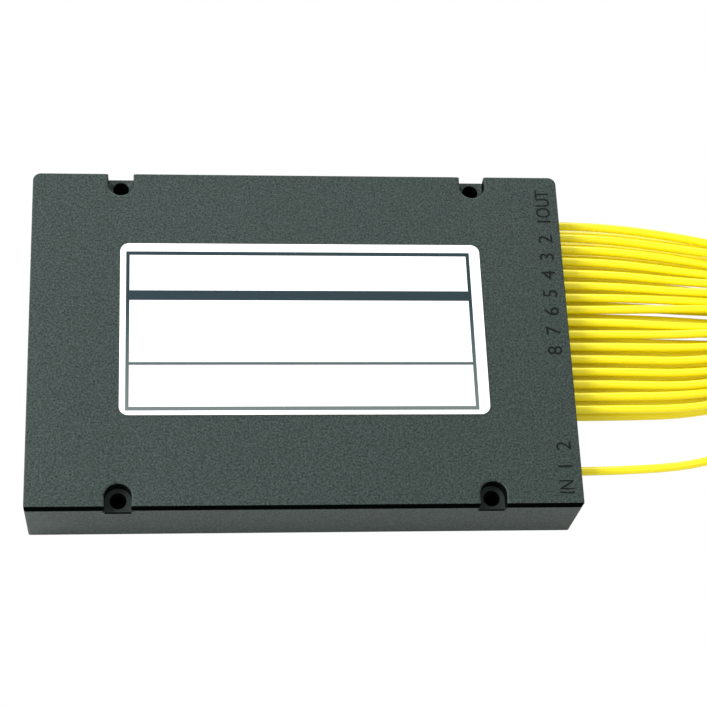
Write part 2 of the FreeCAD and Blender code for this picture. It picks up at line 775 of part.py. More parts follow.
def lc_plugs():
    """Boot, moulded body with its latch arm, ferrule and dust cap of each LC plug."""
    array(turned("LcBoot", [
        ("0", "0"), ("0", "Size.lc_boot_back / 2"), ("-Size.lc_boot_length", "Size.lc_boot_front / 2"),
        ("-Size.lc_boot_length", "0")]), "lc_boots", lc_spots())

    body = new_body("LcHousing")
    grip = new_sketch(body, "LcGrip", "YZ_Plane", "-Size.lc_boot_length")
    rectangle(grip, "-Size.lc_grip_width / 2", "Size.lc_grip_width / 2",
              "-Size.lc_grip_height / 2", "Size.lc_nose_width / 2")
    pad(body, grip, "Size.lc_grip_length").Reversed = True
    nose = new_sketch(body, "LcNose", "YZ_Plane", "-Size.lc_boot_length")
    rectangle(nose, *(f"{side} * Size.lc_nose_width / 2" for side in (-1, 1, -1, 1)))
    pad(body, nose, "Size.lc_grip_length + Size.lc_nose_length").Reversed = True
    latch = new_sketch(body, "LcLatch", "XZ_Plane")
    top = "Size.lc_nose_width / 2"
    tail = "-Size.lc_boot_length - 1"
    outline(latch, [
        (f"-{LC_FRONT} + 0.4", f"{top} - 0.5"), (f"-{LC_FRONT} + 3.0", f"{top} - 0.5"),
        (tail, f"{top} + Size.lc_latch_rise"), (tail, f"{top} + Size.lc_latch_rise"
                                                      " + Size.lc_latch_thickness"),
        (f"-{LC_FRONT} + 0.4", f"{top} + 0.4")])
    pad(body, latch, "Size.lc_latch_width", both_ways=True)
    doc.recompute()
    socket = new_sketch(body, "LcSocket", "YZ_Plane", f"-{LC_FRONT}")
    circle(socket, "0", "0", "Size.lc_socket")
    pocket(body, socket, "Size.lc_socket_depth", forward=True)
    seat = new_sketch(body, "LcFerruleSeat", "YZ_Plane", f"-{LC_FRONT} + Size.lc_socket_depth")
    circle(seat, "0", "0", "Size.lc_ferrule")
    pocket(body, seat, "Size.lc_ferrule_length - Size.lc_socket_depth - Size.lc_ferrule_reach",
           forward=True)
    array(body, "lc_housings", lc_spots())

    tip = f"(-{LC_FRONT} - Size.lc_ferrule_reach)"
    array(turned("LcFerrule", [
        (tip, "0"), (tip, "Size.lc_ferrule / 2"),
        (f"{tip} + Size.lc_ferrule_length", "Size.lc_ferrule / 2"),
        (f"{tip} + Size.lc_ferrule_length", "0")]), "lc_ferrules", lc_spots())
    floor = f"(-{LC_FRONT} + Size.lc_socket_depth)"
    array(turned("LcCap", [
        (floor, "Size.lc_ferrule / 2"), (floor, "Size.lc_cap_barrel / 2"),
        (f"-{LC_FRONT}", "Size.lc_cap_barrel / 2"), (f"-{LC_FRONT}", "Size.lc_cap_knob / 2"),
        (f"-{LC_FRONT} - Size.lc_cap_knob_length", "Size.lc_cap_knob / 2"),
        (f"-{LC_FRONT} - Size.lc_cap_knob_length", "0"), (tip, "0"), (tip, "Size.lc_ferrule / 2")]),
        "lc_dust_caps", lc_spots())


# ---------------------------------------------------------------- SC plug

def sc_axis_y():
    """Over the outer side of the coil, beside the lowest layer of LC plugs."""
    return coil_centre_y() - size("coil_radius") - bundle_radius() + size("sc_grip_width") / 2


def sc_axis_z():
    return coil_top() + size("bundle_floor_gap") + size("sc_grip_height") / 2


SC_FRAME_BACK = "Size.sc_boot_length"
SC_FRONT = "(Size.sc_boot_length + Size.sc_collar_length + Size.sc_frame_length)"


def sc_plug():
    """Push-pull plug: the outer grip slides on the inner frame that holds the ferrule."""
    spot = Vector(plug_back_x(), sc_axis_y(), sc_axis_z())
    boot = turned("ScBoot", [
        ("0", "0"), ("0", "Size.sc_boot_back / 2"), ("-Size.sc_boot_length", "Size.sc_boot_front / 2"),
        ("-Size.sc_boot_length", "0")])

    frame = new_body("ScFrame")
    collar = new_sketch(frame, "ScCollar", "YZ_Plane", f"-{SC_FRAME_BACK}")
    rectangle(collar, *(f"{side} * Size.sc_grip_width / 2 * 0.8" for side in (-1, 1)),
              *(f"{side} * Size.sc_grip_height / 2 * 0.8" for side in (-1, 1)))
    pad(frame, collar, "Size.sc_collar_length").Reversed = True
    core = new_sketch(frame, "ScCore", "YZ_Plane", f"-{SC_FRAME_BACK}")
    rectangle(core, "-Size.sc_frame_width / 2", "Size.sc_frame_width / 2",
              "-Size.sc_frame_height / 2", "Size.sc_frame_height / 2")
    pad(frame, core, "Size.sc_collar_length + Size.sc_frame_length").Reversed = True
    doc.recompute()
    socket = new_sketch(frame, "ScSocket", "YZ_Plane", f"-{SC_FRONT}")
    circle(socket, "0", "0", "Size.sc_socket")
    pocket(frame, socket, "Size.sc_socket_depth", forward=True)
    seat = new_sketch(frame, "ScFerruleSeat", "YZ_Plane", f"-{SC_FRONT} + Size.sc_socket_depth")
    circle(seat, "0", "0", "Size.sc_ferrule")
    pocket(frame, seat, "Size.sc_ferrule_length - Size.sc_socket_depth - Size.sc_ferrule_reach",
           forward=True)

    grip = new_body("ScGrip")
    sleeve = new_sketch(grip, "ScSleeve", "YZ_Plane", f"-{SC_FRONT} + 1")
    rectangle(sleeve, "-Size.sc_grip_width / 2", "Size.sc_grip_width / 2",
              "-Size.sc_grip_height / 2", "Size.sc_grip_height / 2")
    rectangle(sleeve, *(f"{side} * (Size.sc_frame_width / 2 + Size.sc_grip_gap)" for side in (-1, 1)),
              *(f"{side} * (Size.sc_frame_height / 2 + Size.sc_grip_gap)" for side in (-1, 1)))
    pad(grip, sleeve, "Size.sc_frame_length - 1 - Size.sc_grip_travel - 0.5")
    key = new_sketch(grip, "ScKey", "YZ_Plane", f"-{SC_FRONT} + 1")
    rectangle(key, "-Size.sc_key_width / 2", "Size.sc_key_width / 2",
              "Size.sc_grip_height / 2 - 0.3", "Size.sc_grip_height / 2 + Size.sc_key_height")
    pad(grip, key, "Size.sc_grip_length / 2")

    tip = f"(-{SC_FRONT} - Size.sc_ferrule_reach)"
    ferrule = turned("ScFerrule", [
        (tip, "0"), (tip, "Size.sc_ferrule / 2"),
        (f"{tip} + Size.sc_ferrule_length", "Size.sc_ferrule / 2"),
        (f"{tip} + Size.sc_ferrule_length", "0")])
    floor = f"(-{SC_FRONT} + 0.5)"
    bore = "(Size.sc_ferrule / 2 + Size.sc_cap_gap)"
    cap = turned("ScCap", [
        (floor, bore), (floor, "Size.sc_cap_barrel / 2"),
        (f"-{SC_FRONT} - 0.3", "Size.sc_cap_barrel / 2"), (f"-{SC_FRONT} - 0.3", "Size.sc_cap_knob / 2"),
        (f"-{SC_FRONT} - Size.sc_cap_knob_length", "Size.sc_cap_knob / 2"),
        (f"-{SC_FRONT} - Size.sc_cap_knob_length", "0"),
        (f"{tip} - Size.sc_cap_gap", "0"), (f"{tip} - Size.sc_cap_gap", bore)])
    for body, node in ((boot, "sc_boot"), (frame, "sc_frame"), (grip, "sc_grip"),
                       (ferrule, "sc_ferrule"), (cap, "sc_dust_cap")):
        body.Placement = Placement(spot, ABOUT_FACE)
        keep(body, node)


housing_shell()
base_plate()
base_screws()
label()
cord_anchor()
splitter_case()
optics()
inner_fibres()
cords()
harness_coil()
lc_plugs()
sc_plug()
doc.recompute()

for item in doc.Objects:
    if "Invalid" in item.State or "Error" in item.State:
        raise RuntimeError(f"{item.Name} failed: {item.State}")
os.makedirs("parts", exist_ok=True)
for item in nodes:
    if item.Shape.isNull() or not item.Shape.isValid():
        raise RuntimeError(f"{item.Label} has no valid shape")
for item in nodes:
    item.Shape.exportStep(f"parts/{item.Label}.step")
print(len(nodes), "sub-parts written")
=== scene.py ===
"""Looks of a boxed 1 x 32 fibre splitter with its coiled and connectorised cords, in metres."""
import math

import bpy
from mathutils import Matrix, Vector


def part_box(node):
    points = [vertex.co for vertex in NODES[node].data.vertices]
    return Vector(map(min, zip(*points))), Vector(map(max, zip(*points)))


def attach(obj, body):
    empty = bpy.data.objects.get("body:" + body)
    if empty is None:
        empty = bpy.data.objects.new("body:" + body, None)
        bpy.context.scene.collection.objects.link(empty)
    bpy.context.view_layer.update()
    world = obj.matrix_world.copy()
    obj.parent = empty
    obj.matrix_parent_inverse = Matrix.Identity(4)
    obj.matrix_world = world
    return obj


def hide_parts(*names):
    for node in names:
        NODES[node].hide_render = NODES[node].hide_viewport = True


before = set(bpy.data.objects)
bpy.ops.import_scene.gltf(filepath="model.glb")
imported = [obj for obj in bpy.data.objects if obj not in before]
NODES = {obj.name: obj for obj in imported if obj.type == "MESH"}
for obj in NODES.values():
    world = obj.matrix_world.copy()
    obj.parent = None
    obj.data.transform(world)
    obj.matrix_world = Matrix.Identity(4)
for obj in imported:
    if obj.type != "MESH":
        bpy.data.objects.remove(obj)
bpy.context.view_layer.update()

SHELL_LOW, SHELL_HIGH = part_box("housing_shell")
LABEL_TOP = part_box("label")[1][2]
BOX_TOP = SHELL_HIGH[2]

# What counts as one place, as a face that looks along an axis, and as a wall and not a floor.
SAME_PLACE = 1e-6
FACES_ALONG = 0.9
UPRIGHT = 0.5
SMOOTH_UNDER = math.radians(30)         # edges that turn less than this are shaded smooth

# Camera: close above the front left corner, turned a little about its own axis.
CAMERA_TARGET = Vector((0.01309, 0.00322, 0.0))
CAMERA_DISTANCE = 0.44225
CAMERA_AZIMUTH = math.radians(-14.06)
CAMERA_ELEVATION = math.radians(65.91)
CAMERA_ROLL = math.radians(12.89)
CAMERA_LENS = 97.43                     # millimetres, on a 36 mm wide sensor
SENSOR_WIDTH = 36.0

# The housing's edges: the CAD roundings, and the crisper ones of the moulding.
CORNER_RADIUS = 0.0018
FRONT_CORNER_RADIUS = 0.0005            # in the moulding, the two front corners only
RIM_RADIUS = 0.0008
CRISP_RIM_RADIUS = 0.0003
# The painted shade along the top of the front wall, a nearly black band, and the screw notches
# that it steps down at.
LINE_HEIGHT = 0.0022
NOTCH_DEPTH = 0.0032
NOTCH_LINE_HEIGHT = 0.0010
NOTCH_X = 0.04025
NOTCH_HALF_WIDTH = 0.00285
NOTCH_MOUTH = 0.0042                    # half its width, with its rounded mouth
NOTCH_REACH = 0.0335                    # no notch comes nearer the middle in y than this
NOTCH_MARGIN = 0.0001                   # a notch's own walls stop this short of the outer wall
NOTCH_FLOOR_BAND = 0.0005               # about its floor, for the faces that count as floor

# Cords: two rows of sixteen output ports, and the input port in the upper row's plane.
CORD_DIAMETER = 0.002
PORTS_IN_A_ROW = 16
PORT_PITCH = 0.00308
PORT_FIRST_Y = 0.0307
UPPER_ROW_Z = 0.0115
LOWER_ROW_Z = 0.0071
INPUT_Y = -0.0302
PORT_INSIDE = 0.058                     # the inner face of the end wall
STRAIGHT_OUT = 0.012                    # from there, before a cord starts to drift
SPREAD_OUT = 0.031                      # from there to the point that the drifts are given at
GATHER_FALL = 0.0004
INPUT_DRIFT = 0.0015
UPPER_DRIFT = (-0.0024, -0.0025, -0.0023, -0.0023, -0.0018, -0.0014, -0.0005, 0.0005,
               -0.001, 0.00005, -0.0002, -0.0005, -0.0004, -0.00045, 0.00045, 0.0003)
LOWER_DRIFT = (-0.0021, -0.0022, -0.0019, -0.0016, -0.0017, -0.0012, -0.001, -0.0007,
               -0.0006, -0.0003, -0.0004, 0.0001, 0.0, 0.0003, 0.0005, 0.0006)

# The round harness: seven rows of cords, the top row first, each from left to right.
BUNDLE_ROWS = (("u5", "u9"),
               ("u1", "u4", "u7", "u11", "u13"),
               ("u0", "u3", "u6", "u10", "u12", "u15"),
               ("l0", "u2", "l5", "u8", "l12", "u14", "input"),
               ("l1", "l3", "l6", "l10", "l13", "l15"),
               ("l2", "l4", "l8", "l11", "l14"),
               ("l7", "l9"))
BUNDLE_PITCH = 0.0024
BUNDLE_MIDDLE = len(BUNDLE_ROWS) // 2   # the middle row, and in it the middle cord
BUNDLE_RADIUS = BUNDLE_MIDDLE * BUNDLE_PITCH + CORD_DIAMETER / 2
BUNDLE_Z = BUNDLE_RADIUS + 0.0001
MOUTH_X = 0.140                         # where the cords have come together
# On the way there: how far short of the mouth, and the share of the way to the cord's own
# place in the harness, sideways and in height.
GATHER_STEPS = ((0.037, 0.2, 0.55), (0.024, 0.6, 0.97), (0.010, 1, 1), (0, 1, 1))
LEAD_IN_X = (0.150, 0.160)              # two points of the straight between mouth and coil
LEAD_IN_Y = PORT_FIRST_Y - PORT_PITCH * (PORTS_IN_A_ROW - 1) / 2

# The coil: four whole turns on each other, with straight sides and half-round ends.
COIL_LEFT_X = 0.168
COIL_STRAIGHT = 0.084
COIL_RIGHT_X = COIL_LEFT_X + COIL_STRAIGHT
COIL_RADIUS = 0.0238
COIL_Y = LEAD_IN_Y - COIL_RADIUS
TURN_RISE = 2 * BUNDLE_RADIUS
WHOLE_TURNS = 4
COIL_TOP = BUNDLE_Z + (WHOLE_TURNS - 0.5) * TURN_RISE
HALF_ROUND = math.pi * COIL_RADIUS
TURN_LENGTH = 2 * (COIL_STRAIGHT + HALF_ROUND)
CLIMB_START = 0.56 * TURN_LENGTH        # where a turn begins to climb onto the one before
CLIMB_END = 0.91 * TURN_LENGTH
POINTS_A_TURN = 30
BEFORE_THE_END = 1 - 1e-9               # the last point still belongs to the last turn
HARNESS_TWIST = 6                       # whole turns of the harness about its own middle

# Ties: hook-and-loop straps round all four turns of the coil.
STRAP_THICKNESS = 0.0008
STRAP_LOW = 0.00095                     # the inner faces, under and over the cords
STRAP_HIGH = 0.06475
STRAP_CORNER = 0.0045
STRAP_EDGE = 0.0002
TAIL_HEIGHT = 0.026                     # the overlapping end, pressed on the outer side
TAIL_NARROWER = 0.001                   # than the strap
# Each tie: its name, its middle, the axis that the cords run on inside it (0 is x, 1 is y),
# and half its inner size along that axis and across it.
TIES = (("back_tie", (0.205, LEAD_IN_Y), 0, 0.008, 0.0075),
        ("right_tie", (COIL_RIGHT_X + COIL_RADIUS - 0.00025, COIL_Y), 1, 0.005, 0.0081))

# Plugs: four layers of eight LC plugs on the coil, and the SC plug beside them.
FAN_LENGTH = 0.066
# Five even steps out to the plug, each with the share of the way to the plug's own place,
# sideways and in height.
FAN_STEPS = ((0, 0), (0.3, 0.15), (0.76, 0.65), (1, 1), (1, 1))
LC_PITCH = 0.0064
LC_GRIP_HEIGHT = 0.0062
LC_LATCH_TOP = 0.00566                  # over the plug's own middle
LAYER_GAP = 0.00005
LC_LAYER = LC_GRIP_HEIGHT / 2 + LC_LATCH_TOP + LAYER_GAP
LC_NEAREST_Y = -0.0337
LC_LOW_Z = COIL_TOP + 0.0032
SC_Y = -0.0437
SC_Z = COIL_TOP + 0.0038
PLUG_ROWS = (("u1", "u4", "u5", "u7", "u9", "u11", "u13", "u15"),
             ("u0", "u2", "u3", "u6", "u8", "u10", "u12", "u14"),
             ("l0", "l1", "l3", "l5", "l10", "l12", "l13", "l15"),
             ("l2", "l4", "l6", "l7", "l8", "l9", "l11", "l14"))

# Print on the label, and the marks moulded beside the ports.
FRAME_LINES_X = (-0.0389, -0.0381, 0.0376, 0.0384)
FRAME_LINES_Y = (-0.0181, -0.0172, -0.0074, -0.0067, 0.0082, 0.0106, 0.0193, 0.0202)
ROWS_LEFT_BARE = tuple(FRAME_LINES_Y[first:first + 2] for first in (1, 3, 5))
INK_THICKNESS = 0.00001
MARK_FOOT_X = 0.0580
MARK_SIZE = 0.0047
MARK_RAISED = 0.00012
MARK_THINNED = 0.00006
WORD_WIDTH = 0.72                       # the words are set narrower than the numbers
MARKS = (("IN", -0.0360), ("1", -0.0313), ("2", -0.0265), ("8", -0.0038), ("7", 0.0010),
         ("6", 0.0058), ("5", 0.0102), ("4", 0.0150), ("3", 0.0195), ("2", 0.0240),
         ("1", 0.0285), ("OUT", 0.0330))


def channel(value):
    """One sRGB channel from 0 to 1, as the linear light that Blender mixes."""
    return value / 12.92 if value <= 0.04045 else ((value + 0.055) / 1.055) ** 2.4


def linear(code):
    """A colour written as #rrggbb, as linear RGBA."""
    return tuple(channel(int(code[i:i + 2], 16) / 255) for i in (1, 3, 5)) + (1.0,)


def add_node(tree, kind, settings=None, inputs=None):
    """A node with its settings, and with numbers or other nodes' outputs on its inputs."""
    node = tree.nodes.new(kind)
    for name, value in (settings or {}).items():
        setattr(node, name, value)
    for name, value in (inputs or {}).items():
        if isinstance(value, bpy.types.NodeSocket):
            tree.links.new(value, node.inputs[name])
        else:
            node.inputs[name].default_value = value
    return node


def shader_of(material):
    return material.node_tree.nodes["Principled BSDF"]


def finish_of(name, colour, roughness, metallic=0.0, ior=1.5, **sockets):
    """A plain material. The shader's other sockets are given by name, with _ for a space."""
    material = bpy.data.materials.new(name)
    material.use_nodes = True
    shader = shader_of(material)
    shader.inputs["Base Color"].default_value = linear(colour)
    shader.inputs["Roughness"].default_value = roughness
    shader.inputs["Metallic"].default_value = metallic
    shader.inputs["IOR"].default_value = ior
    for socket, value in sockets.items():
        shader.inputs[socket.replace("_", " ")].default_value = value
    return material


def paint(piece, material):
    piece.data.materials.clear()
    piece.data.materials.append(material)


# ---------------------------------------------------------------- camera

def place_camera():
    """A camera that looks along -away, and is rolled about that axis."""
    away = Vector((math.cos(CAMERA_ELEVATION) * math.sin(CAMERA_AZIMUTH),
                   -math.cos(CAMERA_ELEVATION) * math.cos(CAMERA_AZIMUTH),
                   math.sin(CAMERA_ELEVATION)))
    level = Vector((0, 0, 1)).cross(away).normalized()
    upward = away.cross(level)
    right = level * math.cos(CAMERA_ROLL) + upward * math.sin(CAMERA_ROLL)
    up = away.cross(right)
    turned = Matrix((right, up, away)).transposed().to_4x4()
    data = bpy.data.cameras.new("camera")
    data.lens = CAMERA_LENS
    data.sensor_width = SENSOR_WIDTH
    data.clip_start = 0.01
    camera = bpy.data.objects.new("camera", data)
    bpy.context.scene.collection.objects.link(camera)
    camera.matrix_world = Matrix.Translation(CAMERA_TARGET + away * CAMERA_DISTANCE) @ turned
    bpy.context.scene.camera = camera


# ---------------------------------------------------------------- cords

def bundle_slot(key):
    """How far left and up of the harness's middle one cord lies."""
    for level, row in enumerate(BUNDLE_ROWS):
        if key in row:
            left = ((len(row) - 1) / 2 - row.index(key)) * BUNDLE_PITCH
            up = (BUNDLE_MIDDLE - level) * BUNDLE_PITCH * math.sqrt(3) / 2
            return left, up
    raise KeyError(key)


def mix(start, end, share):
    return start + (end - start) * share


def eased(value, start, end):
    """0 before start, 1 after end, and an even S between them."""
    share = min(max((value - start) / (end - start), 0), 1)
    return share * share * (3 - 2 * share)


def gather_route(key, exit_y, exit_z, drift):
    """Out of the box and into the mouth of the round harness."""
    left, up = bundle_slot(key)
    slot = (LEAD_IN_Y + left, BUNDLE_Z + up)
    spread = (exit_y + drift, exit_z - GATHER_FALL)
    points = [(PORT_INSIDE, exit_y, exit_z),
              (PORT_INSIDE + STRAIGHT_OUT, exit_y, exit_z),
              (PORT_INSIDE + SPREAD_OUT, *spread)]
    for back, side, level in GATHER_STEPS:
        points.append((MOUTH_X - back, mix(spread[0], slot[0], side),
                       mix(spread[1], slot[1], level)))
    return points


def coil_path(run):
    """Place and outward direction of the harness's middle, by the length it has run."""
    turn, along = divmod(run, TURN_LENGTH)
    height = BUNDLE_Z + TURN_RISE * (turn + eased(along, CLIMB_START, CLIMB_END))
    half, along = divmod(along, TURN_LENGTH / 2)
    side = 1 - 2 * half
    start_x = COIL_LEFT_X if side > 0 else COIL_RIGHT_X
    if along < COIL_STRAIGHT:
        return (start_x + side * along, COIL_Y + side * COIL_RADIUS, height), (0, side)
    bend = (along - COIL_STRAIGHT) / COIL_RADIUS
    outward = (side * math.sin(bend), side * math.cos(bend))
    return (start_x + side * COIL_STRAIGHT + COIL_RADIUS * outward[0],
            COIL_Y + COIL_RADIUS * outward[1], height), outward


def coil_route(key):
    """Round the coil, with the harness turning about its own middle on the way."""
    left, up = bundle_slot(key)
    steps = WHOLE_TURNS * POINTS_A_TURN
    points = [(x, LEAD_IN_Y + left, BUNDLE_Z + up) for x in LEAD_IN_X]
    for step in range(steps + 1):
        share = min(step / steps, BEFORE_THE_END)
        middle, outward = coil_path(share * WHOLE_TURNS * TURN_LENGTH)
        turn = 2 * math.pi * HARNESS_TWIST * step / steps
        aside = left * math.cos(turn) - up * math.sin(turn)
        raised = left * math.sin(turn) + up * math.cos(turn)
        points.append((middle[0] + outward[0] * aside, middle[1] + outward[1] * aside,
                       middle[2] + raised))
    return points


def fan_route(key, plug_y, plug_z):
    """From the harness's other end out to the back of a plug's boot."""
    left, up = bundle_slot(key)
    slot = (LEAD_IN_Y + left, COIL_TOP + BUNDLE_Z + up)
    step = FAN_LENGTH / len(FAN_STEPS)
    points = []
    for number, (side, level) in enumerate(FAN_STEPS, start=1):
        points.append((COIL_LEFT_X + step * number, mix(slot[0], plug_y, side),
                       mix(slot[1], plug_z, level)))
    return points


def plug_place(key):
    """Where the back of one LC plug's boot is, on the coil."""
    for level, row in enumerate(PLUG_ROWS):
        if key in row:
            return (LC_NEAREST_Y + (len(row) - 1 - row.index(key)) * LC_PITCH,
                    LC_LOW_Z + (len(PLUG_ROWS) - 1 - level) * LC_LAYER)
    raise KeyError(key)


def cord_spline(name, points, diameter):
    """A round cord whose centreline is a smooth curve along the route's points."""
    curve = bpy.data.curves.new(name, "CURVE")
    curve.dimensions = "3D"
    curve.bevel_depth = diameter / 2
    curve.bevel_resolution = 3
    curve.use_fill_caps = True
    spline = curve.splines.new("NURBS")
    spline.points.add(len(points) - 1)
    for knot, place in zip(spline.points, points):
        knot.co = (*place, 1)
    spline.order_u = 3
    spline.use_endpoint_u = True
    spline.resolution_u = 5
    cord = bpy.data.objects.new(name, curve)
    bpy.context.scene.collection.objects.link(cord)
    return cord


def lay_cord(name, key, exit_y, exit_z, drift, plug_y, plug_z, material, with_pieces):
    """One cord from its port to its plug, in place of its node and the coil's."""
    points = gather_route(key, exit_y, exit_z, drift)
    points += coil_route(key)
    points += fan_route(key, plug_y, plug_z)
    cord = cord_spline("laid_" + name, points, CORD_DIAMETER)
    paint(cord, material)
    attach(cord, "root")
    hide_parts(name, "harness_coil")


def lay_cords(material):
    lc_pieces = ["lc_boots", "lc_housings", "lc_ferrules", "lc_dust_caps"]
    for number in range(1, 2 * PORTS_IN_A_ROW + 1):
        upper = number <= PORTS_IN_A_ROW
        place = (number - 1) % PORTS_IN_A_ROW
        key = ("u" if upper else "l") + str(place)
        lay_cord(f"output_cord_{number:02d}", key, PORT_FIRST_Y - place * PORT_PITCH,
                 UPPER_ROW_Z if upper else LOWER_ROW_Z,
                 (UPPER_DRIFT if upper else LOWER_DRIFT)[place], *plug_place(key), material,
                 lc_pieces)
    lay_cord("input_cord", "input", INPUT_Y, UPPER_ROW_Z, INPUT_DRIFT, SC_Y, SC_Z, material,
             ["sc_boot", "sc_frame", "sc_grip", "sc_ferrule", "sc_dust_cap"])


# ---------------------------------------------------------------- ties, print and marks

def start_piece():
    """Nothing selected, so that the next operator acts on its own piece only."""
    if bpy.context.object and bpy.context.object.mode != "OBJECT":
        bpy.ops.object.mode_set(mode="OBJECT")
    bpy.ops.object.select_all(action="DESELECT")


def end_piece(name, material):
    """The selected piece with its scale and place applied, named and painted."""
    bpy.ops.object.transform_apply(location=True, rotation=True, scale=True)
    piece = bpy.context.object
    piece.name = name
    paint(piece, material)
    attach(piece, "root")


def add_block(centre, size):
    start_piece()
    bpy.ops.mesh.primitive_cube_add(size=1, location=centre)
    block = bpy.context.object
    block.scale = size
    bpy.ops.object.transform_apply(location=False, rotation=False, scale=True)
    return block


def choose(piece, faces=None, edges=None):
    """Edit mode, with the faces or edges chosen that pass the test."""
    bpy.ops.object.mode_set(mode="EDIT")
    bpy.ops.mesh.select_mode(type="FACE" if faces else "EDGE")
    bpy.ops.mesh.select_all(action="DESELECT")
    bpy.ops.object.mode_set(mode="OBJECT")
    if faces:
        for face in piece.data.polygons:
            face.select = faces(face)
    else:
        for edge in piece.data.edges:
            ends = [piece.data.vertices[i].co for i in edge.vertices]
            edge.select = edges(*ends)
    bpy.ops.object.mode_set(mode="EDIT")


def add_strap(name, centre, along, half_width, half_across, material):
    """A tie: a strap all round the coil's four turns, and the end pressed on outside it."""
    across = 1 - along
    place = [*centre, (STRAP_HIGH + STRAP_LOW) / 2]
    size = [0, 0, STRAP_HIGH - STRAP_LOW]
    size[along] = 2 * half_width
    size[across] = 2 * half_across
    strap = add_block(place, size)
    choose(strap, edges=lambda a, b: abs((a - b)[along]) > half_width)
    bpy.ops.mesh.bevel(offset=STRAP_CORNER, segments=6)
    choose(strap, faces=lambda face: abs(face.normal[along]) > FACES_ALONG)
    bpy.ops.mesh.delete(type="FACE")
    bpy.ops.object.mode_set(mode="OBJECT")
    wall = strap.modifiers.new("thickness", "SOLIDIFY")
    wall.thickness = STRAP_THICKNESS
    wall.offset = 1
    bpy.ops.object.modifier_apply(modifier=wall.name)
    end_piece(name, material)

    place[across] += half_across + STRAP_THICKNESS + STRAP_THICKNESS / 2
    size = [0, 0, TAIL_HEIGHT]
    size[along] = 2 * half_width - TAIL_NARROWER
    size[across] = STRAP_THICKNESS
    tail = add_block(place, size)
    choose(tail, edges=lambda a, b: abs((a - b)[across]) > STRAP_THICKNESS / 2)
    bpy.ops.mesh.bevel(offset=half_width / 3, segments=5)
    choose(tail, faces=lambda face: face.normal[across] > FACES_ALONG)
    bpy.ops.mesh.bevel(offset=STRAP_EDGE, segments=2)
    bpy.ops.object.mode_set(mode="OBJECT")
    end_piece(name + "_tail", material)


def print_label(material):
    """The ruled frame, left after the three bare rows are cut out of one sheet of ink."""
    start_piece()
    width = FRAME_LINES_X[-1] - FRAME_LINES_X[0]
    depth = FRAME_LINES_Y[-1] - FRAME_LINES_Y[0]
    bpy.ops.mesh.primitive_plane_add(size=1, location=(FRAME_LINES_X[0] + width / 2,
                                                       FRAME_LINES_Y[0] + depth / 2,
                                                       LABEL_TOP))
    sheet = bpy.context.object
    sheet.scale = (width, depth, 1)
    bpy.ops.object.transform_apply(location=True, rotation=False, scale=True)
    bpy.ops.object.mode_set(mode="EDIT")
    # A cut through (line, line, 0) is right for either axis.
    for axis, lines in ((0, FRAME_LINES_X[1:-1]), (1, FRAME_LINES_Y[1:-1])):
        for line in lines:
            bpy.ops.mesh.select_all(action="SELECT")
            bpy.ops.mesh.bisect(plane_co=(line, line, 0), plane_no=(1 - axis, axis, 0))

    def in_a_row(face):
        inside = FRAME_LINES_X[1] < face.center[0] < FRAME_LINES_X[2]
        return inside and any(low < face.center[1] < high for low, high in ROWS_LEFT_BARE)

    choose(sheet, faces=in_a_row)
    bpy.ops.mesh.delete(type="FACE")
    bpy.ops.mesh.select_all(action="SELECT")
    bpy.ops.mesh.extrude_region_move(TRANSFORM_OT_translate={"value": (0, 0, INK_THICKNESS)})
    bpy.ops.mesh.select_all(action="SELECT")
    bpy.ops.mesh.normals_make_consistent(inside=False)
    bpy.ops.object.mode_set(mode="OBJECT")
    end_piece("label_print", material)


def mould_marks(material):
    """Port numbers, read from the front edge to the back with their feet to the cords."""
    marks = []
    for words, middle in MARKS:
        start_piece()
        bpy.ops.object.text_add(location=(MARK_FOOT_X, middle, BOX_TOP),
                                rotation=(0, 0, math.pi / 2))
        mark = bpy.context.object
        mark.data.body = words
        mark.data.size = MARK_SIZE
        mark.data.align_x = "CENTER"
        mark.data.extrude = MARK_RAISED
        mark.data.offset = -MARK_THINNED
        mark.scale.x = WORD_WIDTH if len(words) > 1 else 1
        bpy.ops.object.convert(target="MESH")
        marks.append(bpy.context.object)
    for mark in marks:
        mark.select_set(True)
    bpy.ops.object.join()
    end_piece("port_marks", material)


# ---------------------------------------------------------------- finishes

PLASTIC_SHINE = 0.25                    # against 0.5, as a fine grain scatters the light
GRAIN_DARK, GRAIN_LIGHT = 0.35, 0.68    # where the grain's noise is fully dark and light


def textured_plastic(name, colour, dark, light, grain, depth, roughness):
    """Moulded plastic with a spark-eroded texture of fine pits, which dull its shine."""
    material = finish_of(name, colour, roughness, ior=1.53, Specular_IOR_Level=PLASTIC_SHINE)
    tree, shader = material.node_tree, shader_of(material)
    place = add_node(tree, "ShaderNodeTexCoord").outputs["Object"]
    speckle = add_node(tree, "ShaderNodeTexNoise", inputs={
        "Vector": place, "Scale": 1 / grain, "Detail": 3.0, "Roughness": 0.6})
    shades = add_node(tree, "ShaderNodeValToRGB", inputs={"Fac": speckle.outputs["Fac"]})
    shades.color_ramp.elements[0].position = GRAIN_DARK
    shades.color_ramp.elements[0].color = linear(dark)
    shades.color_ramp.elements[1].position = GRAIN_LIGHT
    shades.color_ramp.elements[1].color = linear(light)
    bump = add_node(tree, "ShaderNodeBump", inputs={
        "Height": speckle.outputs["Fac"], "Distance": depth, "Strength": 0.6})
    tree.links.new(shades.outputs["Color"], shader.inputs["Base Color"])
    tree.links.new(bump.outputs["Normal"], shader.inputs["Normal"])
    return material


def reckon(tree, operation, first, second=0.0):
    """The output of one Math node."""
    node = add_node(tree, "ShaderNodeMath", {"operation": operation})
    for socket, value in zip(node.inputs, (first, second)):
        if isinstance(value, bpy.types.NodeSocket):
            tree.links.new(value, socket)
        else:
            socket.default_value = value
    return node.outputs["Value"]


